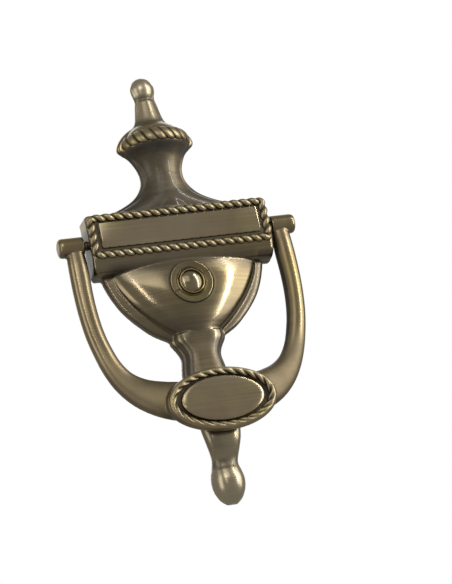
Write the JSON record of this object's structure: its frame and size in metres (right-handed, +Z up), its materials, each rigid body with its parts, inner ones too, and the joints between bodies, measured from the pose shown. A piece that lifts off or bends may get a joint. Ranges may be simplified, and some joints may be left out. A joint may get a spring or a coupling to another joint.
{
  "type": "door knocker",
  "caption": "Urn-shaped door knocker with a rope-edged name plate, an oval medallion on a swinging U-shaped bail, and a door viewer with through-door screws.",
  "frame": {"origin": "on the flat back of the casting, at the middle of its width, where it meets the outer face of the door; the centre of the bail's hinge is 28.8 mm above it", "axes": "+Z up the door, +X to the right as seen from outside, -Y out of the door towards the visitor; the door's thickness lies at +Y"},
  "size_m": [0.1148, 0.0667, 0.2106],
  "materials": {
    "antique_brass": "brushed antique, dark in the recesses, polished on high edges",
    "viewer_brass": "turned satin",
    "champagne_metal": "brushed along the length",
    "black_steel": "black oxide, satin",
    "black_anodised": "matt black",
    "lens_glass": "polished"
  },
  "bodies": {
    "plate": {"backplate": "antique_brass", "pivot_pin_left": "viewer_brass", "pivot_pin_right": "viewer_brass", "viewer_outer_barrel": "viewer_brass", "viewer_lens_ring": "viewer_brass", "viewer_objective_lens": "lens_glass", "viewer_front_spacer": "black_anodised", "viewer_second_lens": "lens_glass", "viewer_rear_spacer": "black_anodised", "viewer_third_lens": "lens_glass", "post_upper": "champagne_metal", "post_lower": "champagne_metal"},
    "bail": {"knocker_bail": "antique_brass"},
    "eyepiece": {"viewer_inner_barrel": "viewer_brass", "viewer_eyepiece_lens": "lens_glass", "viewer_eyepiece_ring": "black_anodised"},
    "upper_screw_set": {"screw_upper": "black_steel", "collar_upper": "black_steel"},
    "lower_screw_set": {"screw_lower": "black_steel", "collar_lower": "black_steel"}
  },
  "joints": [
    {"name": "bail_swing", "type": "hinge", "parent": "plate", "child": "bail", "pos_m": [0, -0.0052, 0.0288], "axis": [-1, 0, 0], "range_deg": [0, 160]},
    {"name": "eyepiece_thread", "type": "slide", "parent": "plate", "child": "eyepiece", "axis": [0, 1, 0], "range_m": [-0.003, 0.012]},
    {"name": "upper_screw_thread", "type": "slide", "parent": "plate", "child": "upper_screw_set", "axis": [0, 1, 0], "range_m": [-0.003, 0.012]},
    {"name": "lower_screw_thread", "type": "slide", "parent": "plate", "child": "lower_screw_set", "axis": [0, 1, 0], "range_m": [-0.003, 0.012]}
  ]
}
